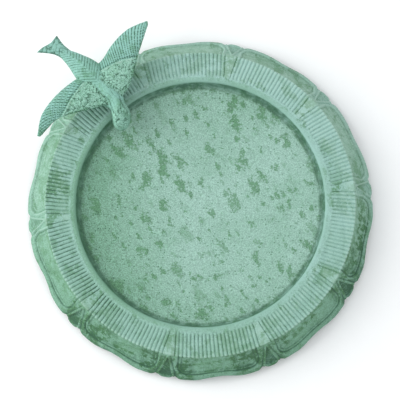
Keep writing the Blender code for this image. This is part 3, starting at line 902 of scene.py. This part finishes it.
def carve_feathers(bird, samples, owners, places, steps):
    """Move each point of the skin by the relief of the loft that it lies on."""
    points = vectors(bird, "co")
    normals = vectors(bird, "normal")
    kind, u, v = loft_places(points, samples, owners, places, steps)
    count = len(points)
    height, shade, patch = np.zeros((3, count))
    tint = np.full(count, 0.30)
    pits = np.full(count, 0.35)
    up = smoothstep(0.1, 0.45, normals[:, 2])

    def lay(part, relief, paint, below):
        height[part] = relief * up[part]
        # Faces that look down take a flat painted shade in place of their relief's shading.
        shade[part] = paint * up[part] + below * (1 - up[part])

    for name, wing in (("left", LEFT_WING), ("right", RIGHT_WING)):
        part = kind == name
        relief, paint, covert = wing_relief(wing, u[part], v[part], points[part])
        lay(part, relief, paint, 0.45)
        tint[part] = 0.10 + 0.80 * covert
        pits[part] = 0.35 + 0.65 * covert
        front = (1 - smoothstep(0.02, 0.16, v[part])) * smoothstep(0.2, 0.5, u[part])
        patch[part] = 0.9 * np.maximum(front, smoothstep(0.86, 0.97, u[part]))
    part = kind == "tail"
    lay(part, *tail_relief(u[part], v[part], points[part]), 0.40)
    part = kind == "body"
    stations = np.array([smooth_curve(BODY_STATIONS, k / 80) for k in range(81)])
    middle = np.interp(points[part, 0], stations[:, 0], stations[:, 4])
    relief, paint, head = body_relief(points[part, 0], points[part, 1] - middle, points[part])
    lay(part, relief, paint, 0.40)
    tint[part] = 0.25 + 0.5 * head
    pits[part] = 0.4 + 0.5 * head

    fine = noise(points, 0.0016, 11) * 0.00010 + noise(points, 0.006, 12) * 0.00012
    points = points + normals * (height + fine * (0.5 + pits))[:, None]
    bird.data.vertices.foreach_set("co", points.ravel())
    # The wash of mid green is deeper on faces that look down, as painted shade.
    set_attributes(bird, {
        "hollows_and_painted_light": shade, "pits": pits, "dabs": 0.55, "tint": tint, "patch": patch,
        "shade_wash": 0.30 + 0.25 * (1 - up)})


def seat_bird(bird):
    """Cut away what would sink into the rim, bore the stud's hole and keep to the frame's box."""
    inner_z = RIM_INNER_Z + GAP
    below = RIM_INNER_Z - WALL_HEIGHT
    seat = turned("seat", [
        (BASIN_R, inner_z),
        (RIM_INNER_R, inner_z),
        (CREST_R + GAP, CREST_Z + GAP),
        (CREST_R + GAP, below),
        (BASIN_R, below),
    ], 180, AXIS)
    low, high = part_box("bird_stud")
    hole = hole_cutter(node_centre("bird_stud"), STUD_R + HOLE_CLEARANCE, low.z, high.z + GAP)
    cut(bird, [seat, hole])
    low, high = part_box("bird")
    points = np.clip(vectors(bird, "co"), np.array(low), np.array(high))
    bird.data.vertices.foreach_set("co", points.ravel())


# ---- feet and fastenings ------------------------
POCKET_R = 0.0047  # in a foot, for the head of its screw
POCKET_TOP = 0.0060
THREAD_PITCH = 0.0008
THREAD_DEPTH = 0.00040
STUD_CHAMFER = 0.0006
EDGE_BEVEL = 0.00015  # on the washer, the nut and the screws


def make_foot(number):
    """Turned casting with rounded edges and a slightly rough skin."""
    low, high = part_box(f"foot_{number}")
    centre = node_centre(f"foot_{number}")
    top_r = (high.x - low.x) / 2
    height = high.z
    hole = SCREW_R + HOLE_CLEARANCE
    foot = turned(f"foot_casting_{number}", [
        (hole, height), (top_r - 0.0010, height), (top_r - 0.0003, height - 0.0002),
        (top_r, height - 0.0008), (top_r - 0.0001, height - 0.0016),
        (0.0094, height - 0.0036), (0.0082, height * 0.52), (0.0080, height * 0.42),
        (0.0084, height * 0.28), (0.0093, 0.0018), (0.0095, 0.0012), (0.0093, 0.0003),
        (0.0088, 0.0), (POCKET_R + 0.0003, 0.0), (POCKET_R, 0.0003),
        (POCKET_R, POCKET_TOP), (hole, POCKET_TOP),
    ], 96, centre)
    points = vectors(foot, "co")
    away = points[:, :2] - centre.xy
    out = np.hypot(*away.T)
    side = (out > POCKET_R + 0.001) & (points[:, 2] > 0.0005) & (points[:, 2] < height - 0.0005)
    push = np.abs(noise(points, 0.003, 21) * 0.00008 * side) / out
    points[:, :2] -= away * push[:, None]
    foot.data.vertices.foreach_set("co", points.ravel())
    set_attributes(foot, {"hollows_and_painted_light": 0.35 + 0.4 * (out < POCKET_R + 0.0002), **FOOT_PAINT})
    return foot


def make_stud():
    """Threaded rod: a single helical ridge wound on a core, with chamfered ends."""
    low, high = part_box("bird_stud")
    centre = node_centre("bird_stud")
    steps, levels = 40, int((high.z - low.z) / THREAD_PITCH * 8)
    angle = np.arange(steps) * 2 * math.pi / steps
    rows = []
    for height in np.linspace(low.z, high.z, levels + 1):
        turn = (height / THREAD_PITCH - angle / (2 * math.pi)) % 1.0
        end = min(height - low.z, high.z - height)
        ridge = np.minimum(STUD_R - THREAD_DEPTH * np.abs(2 * turn - 1), STUD_R - STUD_CHAMFER + end)
        rows.append(polar(ridge, angle, height, centre))
    stud = new_object("stud_thread", np.vstack(rows), loft_faces(len(rows), steps, 0))
    weld(stud, 0.0000001)
    return stud


# ---- materials ----------------------------------
PALE = (0.300, 0.475, 0.385, 1.0)
PALE_BLUE = (0.272, 0.470, 0.425, 1.0)
MID = (0.170, 0.345, 0.240, 1.0)
DAB = (0.095, 0.240, 0.125, 1.0)
MOSS = (0.035, 0.130, 0.042, 1.0)
# Dark green of the recesses and of painted shade.
DARK = (0.030, 0.100, 0.058, 1.0)
SPECK = (0.050, 0.150, 0.080, 1.0)
# Pale colour of paint rubbed on the tops, and of painted highlights.
WORN_AND_HIGHLIGHT = (0.420, 0.610, 0.520, 1.0)
BRIGHT_ZINC = (0.62, 0.63, 0.64, 1.0)
DULL_ZINC = (0.40, 0.41, 0.41, 1.0)
SPONGE_TURN = (0.0, 0.0, math.radians(118.0))  # the way that the dabs are drawn out
SPONGE_STRETCH = (1.50, 0.74, 1.0)


class Value:
    """Output of a shader node; arithmetic on it adds further nodes."""

    def __init__(self, node, output=0):
        self.node = node
        self.socket = node.outputs[output]

    def of(self, output):
        return Value(self.node, output)

    def add(self, kind, inputs, output=0, **settings):
        return add_node(self.node.id_data, kind, inputs, output, **settings)

    def calculate(self, operation, *others, clamp=False):
        inputs = dict(enumerate((self, *others)))
        return self.add("ShaderNodeMath", inputs, operation=operation, use_clamp=clamp)

    def __add__(self, other):
        return self.calculate("ADD", other)

    def __mul__(self, other):
        return self.calculate("MULTIPLY", other)

    def vector(self, operation, other):
        key = "Scale" if operation == "SCALE" else 1
        return self.add("ShaderNodeVectorMath", {0: self, key: other}, "Vector", operation=operation)

    def ramp(self, low, high, out_low=0.0, out_high=1.0):
        """Smooth change from one value to another as this one goes from low to high."""
        return self.add("ShaderNodeMapRange", {
            "Value": self, "From Min": low, "From Max": high, "To Min": out_low, "To Max": out_high,
        }, interpolation_type="SMOOTHSTEP")

    def mix(self, a, b):
        """Colour a where this value is 0 and b where it is 1."""
        return self.add("ShaderNodeMix", {0: self, 6: a, 7: b}, 2, data_type="RGBA")

    def noise(self, scale, detail=3.0, roughness=0.55, distortion=0.0, output="Fac"):
        return self.add("ShaderNodeTexNoise", {
            "Vector": self, "Scale": scale, "Detail": detail, "Roughness": roughness,
            "Distortion": distortion}, output)

    def chance(self, channel):
        """Repeatable value from 0 to 1 for each cell of a texture."""
        return self.add("ShaderNodeSeparateColor", {"Color": self.of("Color")}, channel)

    def bump(self, strength, distance):
        return self.add("ShaderNodeBump", {"Height": self, "Strength": strength, "Distance": distance})


def feed(node, inputs):
    """Link values to a node's inputs, and set the other inputs to constants."""
    for name, value in inputs.items():
        if isinstance(value, Value):
            node.id_data.links.new(value.socket, node.inputs[name])
        else:
            node.inputs[name].default_value = value


def add_node(tree, kind, inputs, output=0, **settings):
    made = tree.nodes.new(kind)
    for name, value in settings.items():
        setattr(made, name, value)
    feed(made, inputs)
    return Value(made, output)


def new_material(name):
    """Material with its shader and the object's own coordinates."""
    material = bpy.data.materials.new(name)
    material.use_nodes = True
    tree = material.node_tree
    return material, tree.nodes["Principled BSDF"], add_node(tree, "ShaderNodeTexCoord", {}, "Object")


def sponge_marks(place, scale, rare, common, fray):
    """Scattered uneven blots with frayed edges, drawn out along one slanting direction."""
    wander = place.noise(scale * 2.2, 4.0, 0.5, output="Color").vector("ADD", (-0.5, -0.5, -0.5))
    slanted = place.add("ShaderNodeMapping", {
        "Vector": place.vector("ADD", wander.vector("SCALE", 0.9 / scale)),
        "Rotation": SPONGE_TURN, "Scale": SPONGE_STRETCH}, vector_type="TEXTURE")
    cells = place.add("ShaderNodeTexVoronoi", {"Vector": slanted, "Scale": scale}, voronoi_dimensions="2D")
    size = cells.chance("Blue").ramp(0.0, 1.0, 0.13, 0.34)
    depth = size.calculate("SUBTRACT", cells.of("Distance"))
    return (depth + fray).ramp(0.0, 0.12) * cells.chance("Red").ramp(rare, common)


def verdigris(name, shift, dab_scale, tone):
    """Cast iron painted in verdigris: pale skin, sponged green, dark in its recesses, with painted shade
    and painted highlights.
    """
    material, shader, place = new_material(name)
    place = place.vector("ADD", shift)
    hollows_and_painted_light, pits, dabs, tint, patch, shade_wash = (
        place.add("ShaderNodeAttribute", {}, "Fac", attribute_name=key)
        for key in ("hollows_and_painted_light", "pits", "dabs", "tint", "patch", "shade_wash"))

    # skin: bluer or greener by place, and washed with mid green by noise and by painted shade
    grain = place.noise(1000.0, 2.0, 0.7)
    brush = place.noise(160.0, 4.0, 0.65, 0.4)
    wash = place.noise(22.0, 4.0, 0.6).ramp(0.42, 0.72) * 0.35 + brush.ramp(0.50, 0.75) * tint * 0.55
    colour = tint.ramp(0.0, 1.0).mix(PALE_BLUE, PALE)
    colour = wash.calculate("ADD", shade_wash, clamp=True).mix(colour, MID)

    # dabs of a sponge, solid patches, and moss where the patches are thickest
    fine = place.noise(520.0, 5.0, 0.8)
    torn = fine.ramp(0.34, 0.50)
    fray = fine.ramp(0.30, 0.62, -0.20, 0.10)
    large = sponge_marks(place, dab_scale, 0.02, 0.55, fray)
    small = sponge_marks(place, dab_scale * 2.1, 0.35, 0.90, fray)
    marks = large.calculate("MAXIMUM", small) * dabs
    patch = place.noise(120.0, 5.0, 0.7).ramp(0.45, 0.53) * patch
    sponge = marks.calculate("MAXIMUM", patch).calculate("MULTIPLY", torn, clamp=True)
    colour = (sponge * 0.92).mix(colour, DAB)
    colour = (patch * torn).ramp(0.70, 1.40, 0.0, 0.85).mix(colour, MOSS)

    # dark specks in the pits, and an uneven brightness
    points = place.add("ShaderNodeTexVoronoi", {"Vector": place, "Scale": 480.0})
    speck = points.of("Distance").ramp(0.40, 0.15) * points.chance("Green").ramp(0.70, 0.88)
    colour = (speck * pits * 0.85).mix(colour, SPECK)
    speckle = grain.ramp(0.35, 0.65, -0.5, 0.5) * pits
    bright = speckle.calculate("MULTIPLY_ADD", 0.50, 1.0)
    colour = colour.vector("SCALE", bright).vector("MULTIPLY", tone)

    # dark recesses and painted shade; rubbed paint and painted highlights where the shading falls below
    # zero
    uneven = hollows_and_painted_light + brush.ramp(0.35, 0.65, -0.15, 0.15)
    colour = uneven.ramp(0.10, 0.95, 0.0, 0.85).mix(colour, DARK)
    bumps = place.noise(620.0, 3.0, 0.6) * pits + brush * 0.35 + sponge * 0.15
    feed(shader, {
        "Base Color": (hollows_and_painted_light * -1.0).ramp(0.08, 0.45, 0.0, 0.35).mix(colour, WORN_AND_HIGHLIGHT),
        "Roughness": grain.ramp(0.3, 0.7, 0.62, 0.80) + sponge * -0.12,
        "Specular IOR Level": 0.35,
        "Normal": bumps.bump(0.8, 0.0006),
    })
    return material


def zinc_steel():
    """Bright zinc plating with fine scratches and dull patches."""
    material, shader, place = new_material("zinc")
    stretched = place.add("ShaderNodeMapping", {"Vector": place, "Scale": (1.0, 1.0, 14.0)})
    lines = stretched.noise(900.0, 3.0, 0.6)
    feed(shader, {
        "Base Color": place.noise(300.0, 4.0, 0.6).ramp(0.35, 0.7).mix(BRIGHT_ZINC, DULL_ZINC),
        "Metallic": 0.95,
        "Roughness": lines.ramp(0.3, 0.7, 0.28, 0.52),
        "Normal": lines.bump(0.3, 0.0002),
    })
    return material


def paper_floor():
    """Matt white paper."""
    material, shader, place = new_material("paper")
    feed(shader, {
        "Base Color": place.noise(60.0, 4.0).mix((0.95, 0.95, 0.95, 1.0), (0.98, 0.98, 0.98, 1.0)),
        "Roughness": 0.9,
        "Specular IOR Level": 0.1,
    })
    return material


def dress(obj, material):
    obj.data.materials.clear()
    obj.data.materials.append(material)


# ---- light and camera ---------------------------
CAMERA_DISTANCE = 1.5
CAMERA_ELEVATION = math.radians(79.0)
CAMERA_LENS = 156.08  # millimetres, on a 36 mm sensor
CAMERA_UP = 0.0021  # the aim above and left of the dish's middle
CAMERA_LEFT = 0.00043
FLOOR_HALF = 4.0
SKY = (0.95, 0.98, 1.0, 1.0)
SKY_STRENGTH = 0.90
KEY_AZIMUTH = math.radians(172.0)
KEY_ELEVATION = math.radians(33.0)
KEY_DISTANCE = 1.5
KEY_SIZE = 1.4
KEY_POWER = 15.0  # watts


def add_camera():
    camera = add_object("camera", bpy.data.cameras.new("camera"))
    camera.data.lens = CAMERA_LENS
    camera.data.sensor_width = 36.0
    back = Vector((0.0, -math.cos(CAMERA_ELEVATION), math.sin(CAMERA_ELEVATION)))
    upward = Vector((0.0, math.sin(CAMERA_ELEVATION), math.cos(CAMERA_ELEVATION)))
    aim = AXIS + Vector((-CAMERA_LEFT, 0.0, CREST_Z)) + upward * CAMERA_UP
    camera.location = aim + back * CAMERA_DISTANCE
    camera.rotation_euler = (math.pi / 2 - CAMERA_ELEVATION, 0.0, 0.0)
    bpy.context.scene.camera = camera


def add_key_light():
    """One large soft lamp at the left."""
    light = bpy.data.lights.new("key", "AREA")
    light.shape = "DISK"
    light.size = KEY_SIZE
    light.energy = KEY_POWER
    lamp = add_object("key", light)
    level = math.cos(KEY_ELEVATION)
    out = Vector((
        level * math.cos(KEY_AZIMUTH), level * math.sin(KEY_AZIMUTH), math.sin(KEY_ELEVATION)))
    lamp.location = AXIS + out * KEY_DISTANCE
    lamp.rotation_euler = out.to_track_quat("Z", "Y").to_euler()


def add_stage():
    """Sheet of paper under the dish, an even sky and the lamp."""
    half = FLOOR_HALF
    corners = [(-half, -half, 0), (half, -half, 0), (half, half, 0), (-half, half, 0)]
    floor = new_object("floor", corners, [(0, 1, 2, 3)])
    dress(floor, paper_floor())
    world = bpy.data.worlds.new("studio")
    world.use_nodes = True
    sky = world.node_tree.nodes["Background"]
    sky.inputs["Color"].default_value = SKY
    sky.inputs["Strength"].default_value = SKY_STRENGTH
    bpy.context.scene.world = world
    add_key_light()
    bpy.context.scene.view_settings.view_transform = "Standard"


# ---- assembly -----------------------------------
def show(obj, node, material):
    """Dress a piece, hang it on the root and hide the node of the frame that it takes the place of."""
    dress(obj, material)
    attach(obj, "root")
    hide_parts(node)


def main():
    iron = verdigris("verdigris_dish", (0.0, 0.0, 0.0), 58.0, (1.05, 1.03, 1.04))
    show(make_dish(), "bowl", iron)
    bird_skin = verdigris("verdigris_swallow", (0.31, 0.17, 0.05), 90.0, (1.04, 1.14, 1.15))
    show(make_bird(), "bird", bird_skin)
    foot_skin = verdigris("verdigris_feet", (0.11, 0.53, 0.2), 120.0, (0.8, 0.8, 0.8))
    for number in (1, 2, 3):
        show(make_foot(number), f"foot_{number}", foot_skin)

    zinc = zinc_steel()
    show(make_stud(), "bird_stud", zinc)
    for name in ("bird_washer", "bird_nut", "foot_screw_1", "foot_screw_2", "foot_screw_3"):
        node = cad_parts[name]
        dress(node, zinc)
        bevel = node.modifiers.new("edge", "BEVEL")
        bevel.width = EDGE_BEVEL
        bevel.segments = 2
        bevel.limit_method = "ANGLE"


main()
add_stage()
add_camera()
